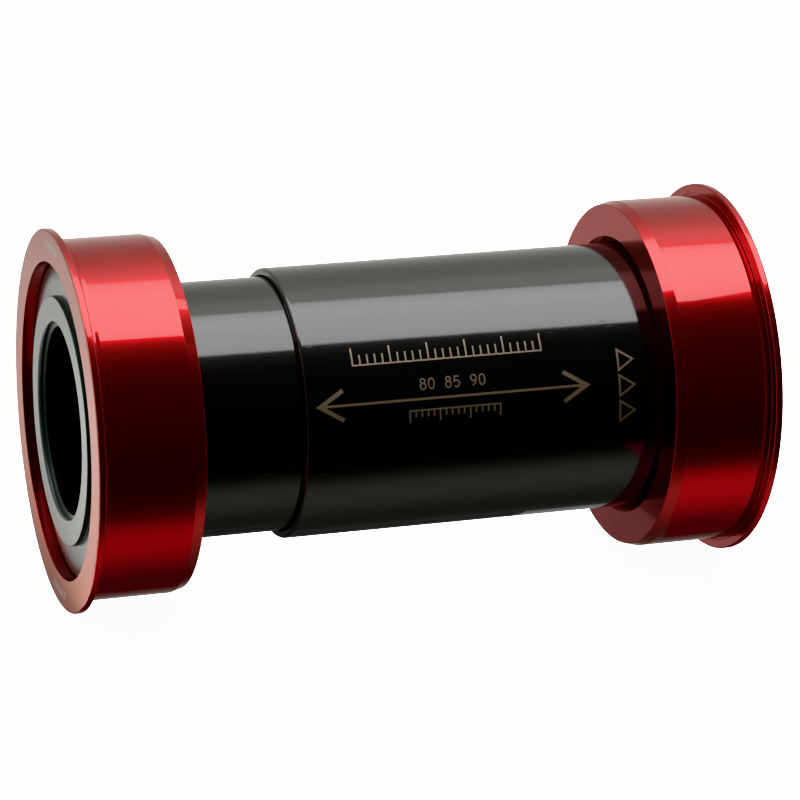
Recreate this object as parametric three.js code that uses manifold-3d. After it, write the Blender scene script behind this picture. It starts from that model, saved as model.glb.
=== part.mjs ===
// A bottom bracket for a 46 mm press-fit frame shell and a 24 mm crank spindle.
// Two flanged cups each carry a sealed ball bearing and its dust cover. A telescoping sleeve joins them:
// the thin inner sleeve belongs to the left cup and slides in the right cup's outer sleeve.
// Millimetres. The spindle axis is X, Z is up, and the origin lies midway between the flanges' outer faces.
import * as THREE from "three";
import { mergeVertices } from "three/addons/utils/BufferGeometryUtils.js";
import Module from "manifold-3d";

// ---- Driving sizes ----
const segments = 36; // flats round every turned piece, all in phase

const spindleDiameter = 24;
const bushWall = 0.5; // from the spindle to the bearing's bore, which gives a 25 mm bore
const bearingSection = 6; // from the bearing's bore to its outside, which gives 37 mm outside
const bearingWidth = 7;
const ballDiameter = 3.572; // 9/64 inch
const ballCount = 15;
const cupWall = 4.5; // from the bearing's seat to the shell, which gives a 46 mm shell bore

const shellWidth = 87.4; // the shell width that the sleeve is set to here
const narrowsBy = 8.4; // down to a 79 mm shell
const widensBy = 4.6; // up to a 92 mm shell

const flangeRim = 1.5; // how far the flange stands out round the barrel
const flangeThickness = 1.0;
const flangeEdge = 0.2; // rounding of the flange's two outer edges
const barrelLength = 12.9; // from the flange to the cup's inboard face
const reliefWidth = 1.0; // relief turned into the barrel beside the flange
const reliefDepth = 0.12;
const reliefRamp = 0.4; // along the barrel, from the relief's floor up to the barrel
const seatStep = 0.25; // how far the relief runs up the flange, clear of the shell's edge
const seatUndercut = 0.1; // how deep it goes into the flange, so that the shell seats square
const leadInLength = 1.45; // taper that starts the barrel into the shell
const leadInDepth = 0.4;
const mouthChamfer = 0.85; // at the mouth of the socket that takes the sleeve

const coverOverlap = 1.6; // how far the cover reaches past the bearing's outside
const coverBossRise = 3.4; // from the bearing's bore to the boss's outside
const coverMouthStep = 0.55; // from the spindle to the wider mouth of the cover's bore
const coverMouthDepth = 0.8; // from the boss's face down to the spindle bore
const coverRecess = 1.25; // from the flange's face down to the cover's rim
const coverBossHeight = 0.75; // how far the boss stands above the cover's rim
const coverRimThickness = 0.95;
const coverBushLength = 5.5; // how far the cover's bush reaches into the inner race

const shoulderGap = 1.1; // from the bearing's pitch circle to either race's shoulder
const sealStep = 0.3; // how far the inner race is cut back under a seal's lip
const sealRecess = 1.0; // from the bearing's outside in to the recess that holds a seal
const sealThickness = 0.6;
const sealInset = 0.2; // from the bearing's side in to the seal
const cageWall = 0.55; // to each side of the pitch circle

const socketShoulder = 1.0; // the cup's step behind the bearing, which gives a 35 mm sleeve
const sleeveWall = 0.95; // wall of the outer sleeve where the inner one slides
const innerSleeveWall = 1.5;
const cupEndWall = 2.3; // thicker wall where the outer sleeve plugs into its cup
const cupEndLength = 6;
const closestApproach = 5.8; // between the left cup and the outer sleeve in the narrowest shell
const shortestOverlap = 10; // sleeve in sleeve in the widest shell
const sleeveEdge = 0.45; // rounding of the outer sleeve's open end
const endChamfer = 0.3;

const ringSection = 0.75; // height of an O-ring as it is squeezed in its groove
const ringWidth = 1.1;
const ringFlat = 0.7; // width of the band that the squeeze flattens
const grooveWidth = 1.4;
const grooveInset = 1.5; // from a sleeve's end to its O-ring groove

// ---- Clearances ----
const seatGap = 0.02; // between pieces that are pressed together
const slideClearance = 0.12; // radial, inner sleeve in outer sleeve
const socketClearance = 0.06; // radial, sleeve in cup
const coverClearance = 0.2; // radial, turning cover in cup
const coverBackGap = 0.35; // behind the turning cover's rim
const hubGap = 0.1; // radial, cover's hub inside the seal's lip
const sleeveEndGap = 0.3; // between a sleeve's end and the bearing
const ringGap = 0.03; // round an O-ring
const grooveGap = 0.164; // radial, ball to race groove
const pocketGap = 0.2; // ball to cage pocket
const cageEndGap = 0.25; // cage to either seal
const lipGap = 0.1; // radial, seal lip to inner race
const sealGap = 0.08; // radial, seal in the outer race's recess
const sealBackGap = 0.1; // behind a seal

// ---- Sizes that follow ----
const flatShare = Math.cos(Math.PI / segments); // a flat's distance from the axis, as a share of its corners'
const spindleRadius = spindleDiameter / 2;
const bearingBoreRadius = spindleRadius + bushWall;
const bearingRadius = bearingBoreRadius + bearingSection;
const barrelRadius = bearingRadius + cupWall;
const flangeRadius = barrelRadius + flangeRim;
const cupLength = flangeThickness + barrelLength;
const overallLength = shellWidth + 2 * flangeThickness;

const coverRadius = bearingRadius + coverOverlap;
const counterboreRadius = coverRadius + coverClearance;
const bearingStart = coverRecess + coverRimThickness + coverBackGap;
const bearingEnd = bearingStart + bearingWidth;
const bearingCentre = bearingStart + bearingWidth / 2;

const halfWidth = bearingWidth / 2;
const pitchRadius = (bearingBoreRadius + bearingRadius) / 2;
const ballRadius = ballDiameter / 2;
const raceGrooveRadius = ballRadius + grooveGap;
const sealSeatRadius = bearingRadius - sealRecess;
const innerShoulderRadius = pitchRadius - shoulderGap;
const innerLandRadius = innerShoulderRadius - sealStep; // under the seals' lips
const ledge = halfWidth - sealInset - sealThickness - sealBackGap; // |along| of the ledges behind the seals

const sleeveRadius = bearingRadius - socketShoulder;
const sleeveBoreRadius = sleeveRadius - sleeveWall;
const innerSleeveRadius = sleeveBoreRadius - slideClearance;
const socketRadius = sleeveRadius + socketClearance;
const sleeveEnd = overallLength / 2 - bearingEnd - sleeveEndGap; // |x| of either sleeve's end inside its cup
const cupFace = overallLength / 2 - cupLength; // |x| of either cup's inboard face
const outerSleeveStart = -cupFace + closestApproach + narrowsBy;
const innerSleeveStop = outerSleeveStart + shortestOverlap + widensBy;
const cavityEnd = Math.max(sleeveEnd - cupEndLength, innerSleeveStop + narrowsBy + sleeveEndGap);

// ---- Finishes ----
const finishes = {
  redAnodised: { color: 0xa3101c, roughness: 0.22, metalness: 1.0 },
  blackAnodised: { color: 0x16181a, roughness: 0.18, metalness: 0.6 },
  bearingSteel: { color: 0xb9bcc0, roughness: 0.2, metalness: 1.0 },
  ballCeramic: { color: 0x2b2c2e, roughness: 0.08, metalness: 0.0 },
  cagePlastic: { color: 0xd9cfb2, roughness: 0.5, metalness: 0.0 },
  coverPlastic: { color: 0x3a3d3f, roughness: 0.35, metalness: 0.0 },
  rubber: { color: 0x111213, roughness: 0.7, metalness: 0.0 },
};
const materials = Object.fromEntries(
  Object.entries(finishes).map(([name, look]) => [name, new THREE.MeshStandardMaterial(look)]),
);

// ---- Helpers ----
const wasm = await Module();
wasm.setup();

function named(name, geometry, material) {
  const mesh = new THREE.Mesh(geometry, material);
  mesh.name = name;
  return mesh;
}

// A ring turned about X from a closed outline of [along the axis, radius] points.
function turned(outline) {
  const points = outline.map(([along, radius]) => new THREE.Vector2(radius, along));
  if (THREE.ShapeUtils.area(points) < 0) points.reverse();
  points.push(points[0].clone());
  return new THREE.LatheGeometry(points, segments).rotateZ(-Math.PI / 2);
}

// Points on an arc about [along, radius], from one angle to another, both in radians.
function arc(along, radius, size, from, to, steps) {
  return Array.from({ length: steps + 1 }, (_, i) => {
    const angle = from + ((to - from) * i) / steps;
    return [along + size * Math.cos(angle), radius + size * Math.sin(angle)];
  });
}

function toSolid(geometry) {
  const bare = geometry.clone();
  bare.deleteAttribute("normal");
  bare.deleteAttribute("uv");
  const merged = mergeVertices(bare, 1e-4);
  return new wasm.Manifold(
    new wasm.Mesh({
      numProp: 3,
      vertProperties: new Float32Array(merged.attributes.position.array),
      triVerts: new Uint32Array(merged.index.array),
    }),
  );
}

function toGeometry(solid) {
  const mesh = solid.getMesh();
  return new THREE.BufferGeometry()
    .setAttribute("position", new THREE.BufferAttribute(mesh.vertProperties, 3))
    .setIndex(new THREE.BufferAttribute(mesh.triVerts, 1));
}

// ---- The cup: flange, pressed barrel and a stepped bore for cover, bearing and sleeve ----
function cup() {
  const reliefEnd = flangeThickness + reliefWidth;
  return turned([
    [0, counterboreRadius],
    [0, flangeRadius - flangeEdge],
    [flangeEdge, flangeRadius],
    [flangeThickness - flangeEdge, flangeRadius],
    [flangeThickness, flangeRadius - flangeEdge],
    [flangeThickness, barrelRadius + seatStep],
    [flangeThickness - seatUndercut, barrelRadius + seatStep],
    [flangeThickness - seatUndercut, barrelRadius - reliefDepth],
    [reliefEnd - reliefRamp, barrelRadius - reliefDepth],
    [reliefEnd, barrelRadius],
    [cupLength - leadInLength, barrelRadius],
    [cupLength, barrelRadius - leadInDepth],
    [cupLength, socketRadius + mouthChamfer],
    [cupLength - mouthChamfer, socketRadius],
    [bearingEnd + seatGap, socketRadius],
    [bearingEnd + seatGap, bearingRadius + seatGap],
    [bearingStart, bearingRadius + seatGap],
    [bearingStart, counterboreRadius],
  ]);
}

// ---- The dust cover: a rim over the bearing, a raised boss for the crank, and a bush in the bore ----
function dustCover() {
  const bossFace = coverRecess - coverBossHeight;
  const bossRadius = bearingBoreRadius + coverBossRise;
  const mouthRadius = spindleRadius + coverMouthStep;
  const rimBack = coverRecess + coverRimThickness;
  const hubRadius = innerLandRadius - hubGap; // the hub bears on the inner race only
  const bushRadius = bearingBoreRadius - 2 * seatGap;
  const spindleBore = (spindleRadius + seatGap) / flatShare; // the flats clear a round spindle
  return turned([
    [bossFace, mouthRadius],
    [bossFace, bossRadius],
    [coverRecess, bossRadius],
    [coverRecess, coverRadius],
    [rimBack, coverRadius],
    [rimBack, hubRadius],
    [bearingStart - seatGap, hubRadius],
    [bearingStart - seatGap, bushRadius],
    [bearingStart + coverBushLength, bushRadius],
    [bearingStart + coverBushLength, spindleBore],
    [bossFace + coverMouthDepth, spindleBore],
    [bossFace + coverMouthDepth, mouthRadius],
  ]);
}

// ---- The bearing: two races, a cage, balls and two seals. Its pieces are centred on the ball plane ----
const grooveSteps = 4;
const grooveAngle = Math.acos(shoulderGap / raceGrooveRadius); // half the arc from shoulder to shoulder

function outerRace() {
  const shoulder = pitchRadius + shoulderGap;
  const up = Math.PI / 2;
  return turned([
    [-halfWidth, bearingRadius],
    [halfWidth, bearingRadius],
    [halfWidth, sealSeatRadius],
    [ledge, sealSeatRadius],
    [ledge, shoulder],
    ...arc(0, pitchRadius, raceGrooveRadius, up - grooveAngle, up + grooveAngle, grooveSteps),
    [-ledge, shoulder],
    [-ledge, sealSeatRadius],
    [-halfWidth, sealSeatRadius],
  ]);
}

function innerRace() {
  const down = -Math.PI / 2;
  return turned([
    [-halfWidth, bearingBoreRadius],
    [-halfWidth, innerLandRadius],
    [-ledge, innerLandRadius],
    [-ledge, innerShoulderRadius],
    ...arc(0, pitchRadius, raceGrooveRadius, down - grooveAngle, down + grooveAngle, grooveSteps),
    [ledge, innerShoulderRadius],
    [ledge, innerLandRadius],
    [halfWidth, innerLandRadius],
    [halfWidth, bearingBoreRadius],
  ]);
}

// A seal disc in the outer race's recess. side is -1 at the outboard face and 1 at the inboard one.
function seal(side) {
  const lip = innerLandRadius + lipGap;
  const taper = sealThickness / 3; // the lip is a third of the seal's thickness
  const shoulder = lip + 3.5 * taper;
  const rim = sealSeatRadius - sealGap;
  const outside = halfWidth - sealInset;
  const inside = outside - sealThickness;
  return turned([
    [side * inside, rim],
    [side * outside, rim],
    [side * outside, shoulder],
    [side * (outside - taper), lip],
    [side * (inside + taper), lip],
    [side * inside, shoulder],
  ]);
}

// A machined ring cage: a plain ring with one radial pocket for each ball.
function ballCage() {
  const half = halfWidth - sealInset - sealThickness - cageEndGap;
  const ring = turned([
    [-half, pitchRadius - cageWall],
    [-half, pitchRadius + cageWall],
    [half, pitchRadius + cageWall],
    [half, pitchRadius - cageWall],
  ]);
  const pocketRadius = ballRadius + pocketGap;
  const pocketSides = 10;
  let cage = toSolid(ring);
  for (let i = 0; i < ballCount; i++) {
    const pocket = new THREE.CylinderGeometry(pocketRadius, pocketRadius, 4 * cageWall, pocketSides)
      .translate(0, pitchRadius, 0)
      .rotateX(ballAngle(i));
    cage = cage.subtract(toSolid(pocket));
  }
  return toGeometry(cage);
}

function ballAngle(i) {
  return (2 * Math.PI * i) / ballCount;
}

function ball(side, i) {
  const mesh = named(
    `${side}_ball_${String(i + 1).padStart(2, "0")}`,
    new THREE.SphereGeometry(ballRadius, 8, 5),
    materials.ballCeramic,
  );
  mesh.position.set(0, pitchRadius * Math.cos(ballAngle(i)), pitchRadius * Math.sin(ballAngle(i)));
  return mesh;
}

function bearing(side) {
  const group = new THREE.Group();
  group.add(
    named(`${side}_outer_race`, outerRace(), materials.bearingSteel),
    named(`${side}_inner_race`, innerRace(), materials.bearingSteel),
    named(`${side}_outboard_seal`, seal(-1), materials.rubber),
    named(`${side}_inboard_seal`, seal(1), materials.rubber),
    named(`${side}_ball_cage`, ballCage(), materials.cagePlastic),
  );
  for (let i = 0; i < ballCount; i++) group.add(ball(side, i));
  group.position.x = bearingCentre;
  return group;
}

// ---- O-rings, squeezed between a groove's floor and the bore around it ----
function oRing(centre, boreRadius) {
  const top = boreRadius - ringGap;
  const bottom = top - ringSection;
  const middle = (top + bottom) / 2;
  return turned([
    [centre - ringFlat / 2, bottom],
    [centre + ringFlat / 2, bottom],
    [centre + ringWidth / 2, middle],
    [centre + ringFlat / 2, top],
    [centre - ringFlat / 2, top],
    [centre - ringWidth / 2, middle],
  ]);
}

// A groove's four corners, in the order of increasing x.
function groove(centre, surfaceRadius, boreRadius) {
  const floor = boreRadius - 2 * ringGap - ringSection;
  const [from, to] = [centre - grooveWidth / 2, centre + grooveWidth / 2];
  return [
    [from, surfaceRadius],
    [from, floor],
    [to, floor],
    [to, surfaceRadius],
  ];
}

const cupRingInset = grooveInset + grooveWidth / 2; // from a sleeve's end to its O-ring's centre
const slideRing = innerSleeveStop - cupRingInset;

// ---- The two sleeves ----
function innerSleeve() {
  const start = -sleeveEnd;
  const bore = innerSleeveRadius - innerSleeveWall;
  const collarEnd = -cupFace - mouthChamfer;
  return turned([
    [start, bore],
    [start, sleeveRadius - endChamfer],
    [start + endChamfer, sleeveRadius],
    ...groove(start + cupRingInset, sleeveRadius, socketRadius),
    [collarEnd, sleeveRadius],
    [collarEnd, innerSleeveRadius],
    ...groove(slideRing, innerSleeveRadius, sleeveBoreRadius),
    [innerSleeveStop - endChamfer, innerSleeveRadius],
    [innerSleeveStop, innerSleeveRadius - endChamfer],
    [innerSleeveStop, bore],
  ]);
}

function outerSleeve() {
  const start = outerSleeveStart;
  return turned([
    [start, sleeveBoreRadius],
    [start, sleeveRadius - sleeveEdge],
    [start + sleeveEdge, sleeveRadius],
    ...groove(sleeveEnd - cupRingInset, sleeveRadius, socketRadius),
    [sleeveEnd - endChamfer, sleeveRadius],
    [sleeveEnd, sleeveRadius - endChamfer],
    [sleeveEnd, sleeveRadius - cupEndWall],
    [cavityEnd, sleeveRadius - cupEndWall],
    [cavityEnd, sleeveBoreRadius],
  ]);
}

// ---- Assembly ----
// One cup with its bearing, cover and O-ring, flange face at x = 0 and the barrel towards +X.
function cupAssembly(side) {
  const group = new THREE.Group();
  const ringCentre = overallLength / 2 - sleeveEnd + cupRingInset;
  group.add(
    named(`${side}_cup`, cup(), materials.redAnodised),
    named(`${side}_dust_cover`, dustCover(), materials.coverPlastic),
    named(`${side}_sleeve_o_ring`, oRing(ringCentre, socketRadius), materials.rubber),
    bearing(side),
  );
  return group;
}

const bottomBracket = new THREE.Group();

const leftSide = cupAssembly("left");
leftSide.position.x = -overallLength / 2;
const rightSide = cupAssembly("right");
rightSide.position.x = overallLength / 2;
rightSide.rotation.z = Math.PI;

bottomBracket.add(
  leftSide,
  rightSide,
  named("inner_sleeve", innerSleeve(), materials.blackAnodised),
  named("outer_sleeve", outerSleeve(), materials.blackAnodised),
  named("telescope_o_ring", oRing(slideRing, sleeveBoreRadius), materials.rubber),
);

export default bottomBracket;
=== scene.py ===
# %% [markdown]
# # A press-fit bottom bracket
# This unit presses into the shell of a bicycle frame and carries the spindle of the cranks. Two flanged
# cups hold a sealed ball bearing each, a dust cover closes each bearing, and a telescoping sleeve joins the
# cups. Nearly every piece is turned, so nearly every piece here is one outline carried round the X axis.
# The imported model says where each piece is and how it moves. This script makes the fine surfaces and the
# finishes around it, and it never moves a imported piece.

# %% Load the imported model
import math
import bpy
import numpy as np
from mathutils import Matrix, Vector


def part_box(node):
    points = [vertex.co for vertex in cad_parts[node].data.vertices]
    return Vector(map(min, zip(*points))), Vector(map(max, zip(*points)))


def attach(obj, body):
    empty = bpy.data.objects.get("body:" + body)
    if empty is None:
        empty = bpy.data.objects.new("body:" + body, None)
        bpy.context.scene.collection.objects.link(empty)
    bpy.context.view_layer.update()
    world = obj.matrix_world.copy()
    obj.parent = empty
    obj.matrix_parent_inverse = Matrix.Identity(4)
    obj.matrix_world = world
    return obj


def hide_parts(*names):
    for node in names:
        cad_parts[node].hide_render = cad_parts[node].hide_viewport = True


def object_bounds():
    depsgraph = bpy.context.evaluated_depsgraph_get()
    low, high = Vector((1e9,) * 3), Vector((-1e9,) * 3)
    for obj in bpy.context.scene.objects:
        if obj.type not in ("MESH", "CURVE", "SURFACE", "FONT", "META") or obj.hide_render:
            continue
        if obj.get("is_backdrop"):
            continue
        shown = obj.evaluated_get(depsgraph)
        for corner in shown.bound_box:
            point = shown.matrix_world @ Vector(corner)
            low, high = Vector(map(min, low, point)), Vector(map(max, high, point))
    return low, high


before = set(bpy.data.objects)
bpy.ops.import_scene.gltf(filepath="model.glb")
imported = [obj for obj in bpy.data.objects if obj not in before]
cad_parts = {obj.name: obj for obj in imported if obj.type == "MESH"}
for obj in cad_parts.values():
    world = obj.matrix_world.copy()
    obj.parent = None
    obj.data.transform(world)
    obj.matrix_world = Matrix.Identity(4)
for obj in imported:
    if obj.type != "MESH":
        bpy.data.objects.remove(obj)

CAD_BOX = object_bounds()

# %% [markdown]
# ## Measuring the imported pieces
# Sizes on a drawing are in millimetres, so this script works in millimetres, and only the last step into a
# mesh turns them into metres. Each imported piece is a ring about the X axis. Its length and its two radii
# can be read from its corners, so a fine piece never disagrees with the piece that it stands for. A
# stretch of a ring can be measured alone, which gives the radius of a barrel beside its flange.

# %% A ring's measures
METRES = 0.001  # one millimetre


class Ring:
    """A stretch of a turned node: its two ends along X and its inner and outer radius, in millimetres."""

    def __init__(self, node, start=-math.inf, end=math.inf):
        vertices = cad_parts[node].data.vertices
        points = np.empty(len(vertices) * 3, np.float32)
        vertices.foreach_get("co", points)
        points = points.reshape(-1, 3).astype(float) / METRES
        points = points[(points[:, 0] >= start) & (points[:, 0] <= end)]
        radii = np.hypot(points[:, 1], points[:, 2])
        self.start, self.end = points[:, 0].min(), points[:, 0].max()
        self.inner, self.outer = radii.min(), radii.max()
        self.centre = (self.start + self.end) / 2


cup = Ring("left_cup")
HALF_LENGTH = -cup.start
print(f"overall length {2 * HALF_LENGTH:.1f}, flange {2 * cup.outer:.1f} across")

# %% [markdown]
# ## Outlines with real edges
# No turned edge is perfectly sharp: the tool leaves a small radius, and that radius is what catches the
# light. An outline is written as corners, each with its own radius, and every corner becomes an arc. Smooth
# shading blends the normals of neighbouring faces, so a long flat face beside an arc would look bent. An
# extra point on each side of every arc keeps that blend within a few hundredths of a millimetre.

# %% Round the corners of an outline
ARC_STEPS = 5


def rounded(corners):
    """The closed outline through corners (along, radius, fillet), each corner replaced by its arc.

    The arc's centre lies on the corner's bisector, fillet / sin(half the corner's angle) away, and it meets
    the two sides at fillet / tan(half the angle) from the corner.
    """
    corners = np.array(corners, float)
    corner, fillet = corners[:, :2], corners[:, 2:]
    back = np.roll(corner, 1, 0) - corner
    ahead = np.roll(corner, -1, 0) - corner
    back_length = np.linalg.norm(back, axis=1, keepdims=True)
    ahead_length = np.linalg.norm(ahead, axis=1, keepdims=True)
    back, ahead = back / back_length, ahead / ahead_length
    half = np.arccos(np.clip((back * ahead).sum(1, keepdims=True), -1, 1)) / 2
    reach = fillet / np.tan(half)
    bisector = back + ahead
    bisector /= np.maximum(np.linalg.norm(bisector, axis=1, keepdims=True), 1e-9)
    centre = corner + bisector * fillet / np.sin(half)
    first, last = corner + back * reach, corner + ahead * reach
    start = np.arctan2(*(first - centre).T[::-1])[:, None]
    turn = np.arctan2(*(last - centre).T[::-1])[:, None] - start
    turn = (turn + math.pi) % (2 * math.pi) - math.pi
    angle = start + turn * np.linspace(0, 1, ARC_STEPS + 1)
    arc = centre[:, None] + fillet[:, None] * np.stack([np.cos(angle), np.sin(angle)], -1)
    hold = np.minimum(fillet * 0.5, 0.04)
    before = first + back * np.minimum(hold, (back_length - reach) * 0.3)
    after = last + ahead * np.minimum(hold, (ahead_length - reach) * 0.3)
    points = np.concatenate([before[:, None], arc, after[:, None]], 1).reshape(-1, 2)
    return points[np.linalg.norm(points - np.roll(points, 1, 0), axis=1) > 1e-5]


def arc_points(centre, size, start, end, steps):
    """Plain points (along, radius, 0) on an arc from one angle to another, for a race's ball groove."""
    angle = np.linspace(start, end, steps + 1)
    return [(centre[0] + size * math.cos(a), centre[1] + size * math.sin(a), 0) for a in angle]


print("a rounded square has", len(rounded([(0, 1, 0.1), (1, 1, 0.1), (1, 2, 0.1), (0, 2, 0.1)])), "points")

# %% [markdown]
# ## From numbers to a mesh
# A grid of points is a surface: each cell of the grid is a face. A turned piece's grid closes on itself
# both ways, round the axis and round the outline, so the mesh has no border at all. The volume that the
# faces enclose comes out negative when they point inwards, and then they are all turned round at once.

# %% Meshes from grids
AROUND = 192  # steps round the axis of a turned piece


def cells(rows, columns, close_rows=True, close_columns=True):
    """The corner numbers of every cell of a grid whose points are numbered row by row."""
    row = np.arange(rows if close_rows else rows - 1)[:, None]
    column = np.arange(columns if close_columns else columns - 1)[None]
    next_row, next_column = (row + 1) % rows, (column + 1) % columns
    corner = [row * columns + column, next_row * columns + column]
    corner += [next_row * columns + next_column, row * columns + next_column]
    return np.stack(corner, -1).reshape(-1, 4)


def solid(name, points, faces):
    """An object made of points in millimetres and faces, all of the faces pointing outwards."""
    first = points[faces[:, 0]]
    halves = [(faces[:, 1], faces[:, 2]), (faces[:, 2], faces[:, -1])]
    volume = sum((first * np.cross(points[b], points[c])).sum() for b, c in halves)
    if volume < 0:
        faces = faces[:, ::-1]
    mesh = bpy.data.meshes.new(name)
    mesh.from_pydata((points * METRES).tolist(), [], faces.tolist())
    mesh.shade_smooth()
    mesh.set_sharp_from_angle(angle=math.radians(38))
    piece = bpy.data.objects.new(name, mesh)
    bpy.context.scene.collection.objects.link(piece)
    return piece


def round_the_axis(outline, steps=AROUND):
    """Outline points (along, radius) carried round X: y = -radius cos(angle), z = radius sin(angle)."""
    angle = np.linspace(0, 2 * math.pi, steps, endpoint=False)[:, None]
    along = np.broadcast_to(outline[:, 0], (steps, len(outline)))
    y, z = -outline[:, 1] * np.cos(angle), outline[:, 1] * np.sin(angle)
    return np.stack([along, y, z], -1).reshape(-1, 3)


def turned(name, outline):
    return solid(name, round_the_axis(outline), cells(AROUND, len(outline)))


# %% [markdown]
# The two cups and all that they hold are the same on both sides. Their outlines are written once, as
# depths from the flange's outer face, and then put at the left end or turned round to the right one.

# %% The two sides
SIDES = {"left": -1, "right": 1}


def at_side(side, outline):
    """An outline written as (depth from the flange's face, radius), moved to that side's place on X."""
    sign = SIDES[side]
    return np.stack([sign * (HALF_LENGTH - outline[:, 0]), outline[:, 1]], -1)


def depth(x):
    """How deep a place on the left half of the X axis lies below the left flange's face."""
    return x + HALF_LENGTH


def put(piece, body, slot, material, *nodes):
    """Paints a piece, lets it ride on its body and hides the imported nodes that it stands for."""
    piece.data.materials.append(material)
    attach(piece, body)
    if nodes:
        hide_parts(*nodes)
    return piece


print("the left flange's seat lies", round(depth(-43.7), 2), "below its face")

# %% [markdown]
# ## Writing shaders as arithmetic
# A finish is mostly arithmetic on a place: how far along, how far out, how much noise. Wrapping a socket in
# a small class lets + - * / add the Math nodes, so a finish reads as a formula. Every other node comes from
# one method, which takes the node's type, its settings and the values or links of its sockets.

# %% Values and finishes
class Value:
    """One output in a node tree. Arithmetic on it adds Math nodes."""

    def __init__(self, finish, socket):
        self.finish, self.socket = finish, socket

    def _math(self, operation, first, second):
        return self.finish.node("ShaderNodeMath", {"operation": operation}, {0: first, 1: second})

    def __add__(self, other):
        return self._math("ADD", self, other)

    def __sub__(self, other):
        return self._math("SUBTRACT", self, other)

    def __rsub__(self, other):
        return self._math("SUBTRACT", other, self)

    def __mul__(self, other):
        return self._math("MULTIPLY", self, other)

    def __truediv__(self, other):
        return self._math("DIVIDE", self, other)

    __radd__, __rmul__ = __add__, __mul__


class Finish:
    """One material around a Principled shader, whose even values are set on its own sockets."""

    def __init__(self, name, **even):
        self.material = bpy.data.materials.new(name)
        self.material.use_nodes = True
        self.tree = self.material.node_tree
        self.shader = self.tree.nodes["Principled BSDF"]
        for socket, value in even.items():
            self.shader.inputs[socket.replace("_", " ")].default_value = value

    def node(self, kind, settings=None, inputs=None, output=0):
        """Adds a node: settings first, then each input as a number, a colour or another value."""
        made = self.tree.nodes.new(kind)
        for setting, value in (settings or {}).items():
            if setting == "stops":
                self.set_stops(made.color_ramp.elements, value)
            else:
                setattr(made, setting, value)
        for socket, value in (inputs or {}).items():
            if isinstance(value, Value):
                self.tree.links.new(value.socket, made.inputs[socket])
            else:
                made.inputs[socket].default_value = value
        return Value(self, made.outputs[output])

    def set_stops(self, elements, stops):
        """Gives a colour ramp its stops, each a position from 0 to 1 and a colour."""
        while len(elements) > 1:
            elements.remove(elements[-1])
        elements[0].position, elements[0].color = stops[0]
        for position, colour in stops[1:]:
            elements.new(position).color = colour

    def drive(self, **links):
        """Feeds what changes over the surface into the shader."""
        for socket, value in links.items():
            self.tree.links.new(value.socket, self.shader.inputs[socket.replace("_", " ")])

    def place(self):
        """Along the axis and out from it, in millimetres, and the plain place in metres."""
        here = self.node("ShaderNodeTexCoord", output="Object")
        apart = self.node("ShaderNodeSeparateXYZ", inputs={0: here}).socket.node
        along, y, z = [Value(self, apart.outputs[i]) for i in range(3)]
        power = {"operation": "POWER"}
        out = self.node("ShaderNodeMath", power, {0: y * y + z * z, 1: 0.5})
        return along / METRES, out / METRES, here

    def noise(self, vector, scale, detail=2.0, roughness=0.5):
        values = {"Vector": vector, "Scale": scale, "Detail": detail, "Roughness": roughness}
        return self.node("ShaderNodeTexNoise", inputs=values)

    def lathe_noise(self, along, out, per_mm, detail=2.0):
        """Noise that changes along and out but not round the axis: the lay that a lathe tool leaves."""
        lay = self.node("ShaderNodeCombineXYZ", inputs={0: along, 1: out, 2: 0.0})
        return self.noise(lay, per_mm, detail)

    def step(self, value, low, high):
        """0 below low, 1 above high and a smooth rise between them."""
        settings = {"interpolation_type": "SMOOTHSTEP"}
        values = {"Value": value, "From Min": low, "From Max": high}
        return self.node("ShaderNodeMapRange", settings, values)

    def mix(self, share, first, second):
        """A colour between two colours."""
        settings = {"data_type": "RGBA"}
        return self.node("ShaderNodeMix", settings, {0: share, 6: first, 7: second}, output=2)

    def scratches(self, along, here):
        """Very few short fine lines: where noise that is stretched along the axis is at its highest."""
        apart = self.node("ShaderNodeSeparateXYZ", inputs={0: here}).socket.node
        y, z = Value(self, apart.outputs[1]) * -1, Value(self, apart.outputs[2])
        turn = self.node("ShaderNodeMath", {"operation": "ARCTAN2"}, {0: z, 1: y})
        lines = self.node("ShaderNodeCombineXYZ", inputs={0: along * 0.35, 1: turn * 60, 2: along * 0.1})
        return self.step(self.noise(lines, 1.0, detail=0.0), 0.81, 0.84)

    def bump(self, height, microns, under=None):
        """Normals of a surface that stands out by height times that many thousandths of a millimetre."""
        values = {"Height": height, "Distance": microns * 1e-6, "Strength": 1.0}
        if under is not None:
            values["Normal"] = under
        return self.node("ShaderNodeBump", inputs=values)


print("principled shader, with", len(Finish("scratch").shader.inputs), "sockets")
bpy.data.materials.remove(bpy.data.materials["scratch"])
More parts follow.
